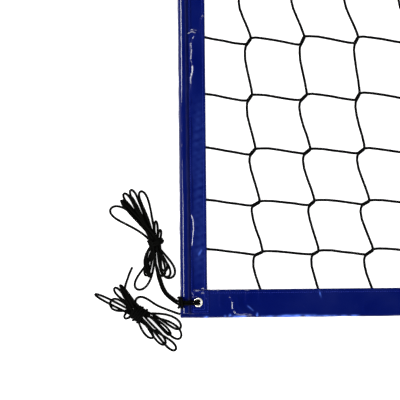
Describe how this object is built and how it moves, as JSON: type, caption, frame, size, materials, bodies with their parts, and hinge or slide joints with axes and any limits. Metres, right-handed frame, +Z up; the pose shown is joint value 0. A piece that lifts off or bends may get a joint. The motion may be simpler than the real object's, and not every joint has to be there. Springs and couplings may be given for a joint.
{
  "type": "volleyball net",
  "caption": "Volleyball net laid flat: black knotless square mesh, glossy blue vinyl bands, corner eyelets, rods in side sleeves and black tie cords hanked at one corner.",
  "frame": {"origin": "middle of the flat net on the ground", "axes": "+X along the net to the right, +Y from the bottom band to the top band, +Z up from the ground"},
  "size_m": [9.659, 1.062, 0.0212],
  "materials": {
    "vinyl": "glossy PVC-coated band fabric, softly wrinkled",
    "twine": "knotless polyethylene net twine, matt",
    "cord": "round braided cord, matt",
    "thread": "sewing thread",
    "eyelet_metal": "bright pressed metal, slightly warm",
    "fibreglass": "pultruded glass-fibre rod",
    "end_cap": "soft push-on cap"
  },
  "bodies": {
    "net": {"bottom_band": "vinyl", "top_band": "vinyl", "left_band": "vinyl", "right_band": "vinyl", "netting": "twine", "bottom_rope": "cord", "headline_rope": "cord", "bottom_seam": "thread", "top_seam": "thread", "tie_hitch": "cord", "tie_lead_low": "cord", "tie_lead_high": "cord", "tie_hank": "cord", "rope_tail": "cord", "rope_end": "cord", "rope_hank": "cord", "left_sleeve": "vinyl", "left_seam": "thread", "left_sleeve_seam": "thread", "right_sleeve": "vinyl", "right_seam": "thread", "right_sleeve_seam": "thread", "patch_low_left": "vinyl", "box_seam_low_left": "thread", "eyelet_low_left": "eyelet_metal", "washer_low_left": "eyelet_metal", "patch_low_right": "vinyl", "box_seam_low_right": "thread", "eyelet_low_right": "eyelet_metal", "washer_low_right": "eyelet_metal", "patch_top_left": "vinyl", "box_seam_top_left": "thread", "eyelet_top_left": "eyelet_metal", "washer_top_left": "eyelet_metal", "patch_top_right": "vinyl", "box_seam_top_right": "thread", "eyelet_top_right": "eyelet_metal", "washer_top_right": "eyelet_metal"},
    "left_rod": {"left_rod": "fibreglass", "left_rod_cap_low": "end_cap", "left_rod_cap_top": "end_cap"},
    "right_rod": {"right_rod": "fibreglass", "right_rod_cap_low": "end_cap", "right_rod_cap_top": "end_cap"}
  },
  "joints": [
    {"name": "left_rod_slide", "type": "slide", "parent": "net", "child": "left_rod", "axis": [0, -1, 0], "range_m": [0, 0.97]},
    {"name": "right_rod_slide", "type": "slide", "parent": "net", "child": "right_rod", "axis": [0, -1, 0], "range_m": [0, 0.97]}
  ]
}
